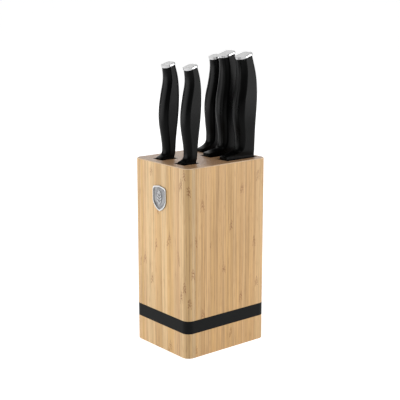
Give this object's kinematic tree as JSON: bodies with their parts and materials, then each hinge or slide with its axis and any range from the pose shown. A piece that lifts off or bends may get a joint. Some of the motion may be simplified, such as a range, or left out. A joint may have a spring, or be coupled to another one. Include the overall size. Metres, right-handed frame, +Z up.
{
  "type": "knife block with knives",
  "caption": "Upright laminated bamboo knife block with a black band and shield badge, holding knives with black soft-grip handles and steel end caps.",
  "frame": {"origin": "centre of the block's footprint on the surface it stands on", "axes": "+Z up along the knives, -Y the face with the badge, X across the block's width"},
  "size_m": [0.1, 0.1212, 0.3452],
  "materials": {
    "bamboo": "laminated bamboo, satin oiled",
    "band_rubber": "matte black",
    "foot_rubber": "matte",
    "guide_plastic": "matte black",
    "badge_metal": "satin field with a bright rim",
    "motif_metal": "polished",
    "blade_steel": "satin ground",
    "core_plastic": "moulded",
    "soft_grip": "soft-touch black",
    "cap_steel": "polished rim, satin face"
  },
  "bodies": {
    "block": {"front_board": "bamboo", "small_row_left_board": "bamboo", "small_row_middle_board": "bamboo", "small_row_right_board": "bamboo", "centre_board": "bamboo", "large_row_left_board": "bamboo", "large_row_left_divider": "bamboo", "large_row_right_divider": "bamboo", "large_row_right_board": "bamboo", "bread_well_filler": "bamboo", "back_board": "bamboo", "base_panel": "bamboo", "anti_slip_feet": "foot_rubber", "black_band": "band_rubber", "badge_shield": "badge_metal", "badge_motif": "motif_metal", "paring_slot_guide": "guide_plastic", "utility_slot_guide": "guide_plastic", "bread_slot_guide": "guide_plastic", "santoku_slot_guide": "guide_plastic", "chef_slot_guide": "guide_plastic"},
    "paring_knife": {"paring_blade": "blade_steel", "paring_handle_core": "core_plastic", "paring_grip": "soft_grip", "paring_end_cap": "cap_steel"},
    "utility_knife": {"utility_blade": "blade_steel", "utility_handle_core": "core_plastic", "utility_grip": "soft_grip", "utility_end_cap": "cap_steel"},
    "bread_knife": {"bread_blade": "blade_steel", "bread_handle_core": "core_plastic", "bread_grip": "soft_grip", "bread_end_cap": "cap_steel"},
    "santoku_knife": {"santoku_blade": "blade_steel", "santoku_handle_core": "core_plastic", "santoku_grip": "soft_grip", "santoku_end_cap": "cap_steel"},
    "chef_knife": {"chef_blade": "blade_steel", "chef_handle_core": "core_plastic", "chef_grip": "soft_grip", "chef_end_cap": "cap_steel"}
  },
  "joints": [
    {"name": "paring_knife_lift", "type": "slide", "parent": "block", "child": "paring_knife", "axis": [0, 0, 1], "range_m": [0, 0.1]},
    {"name": "utility_knife_lift", "type": "slide", "parent": "block", "child": "utility_knife", "axis": [0, 0, 1], "range_m": [0, 0.14]},
    {"name": "bread_knife_lift", "type": "slide", "parent": "block", "child": "bread_knife", "axis": [0, 0, 1], "range_m": [0, 0.21]},
    {"name": "santoku_knife_lift", "type": "slide", "parent": "block", "child": "santoku_knife", "axis": [0, 0, 1], "range_m": [0, 0.185]},
    {"name": "chef_knife_lift", "type": "slide", "parent": "block", "child": "chef_knife", "axis": [0, 0, 1], "range_m": [0, 0.21]}
  ]
}
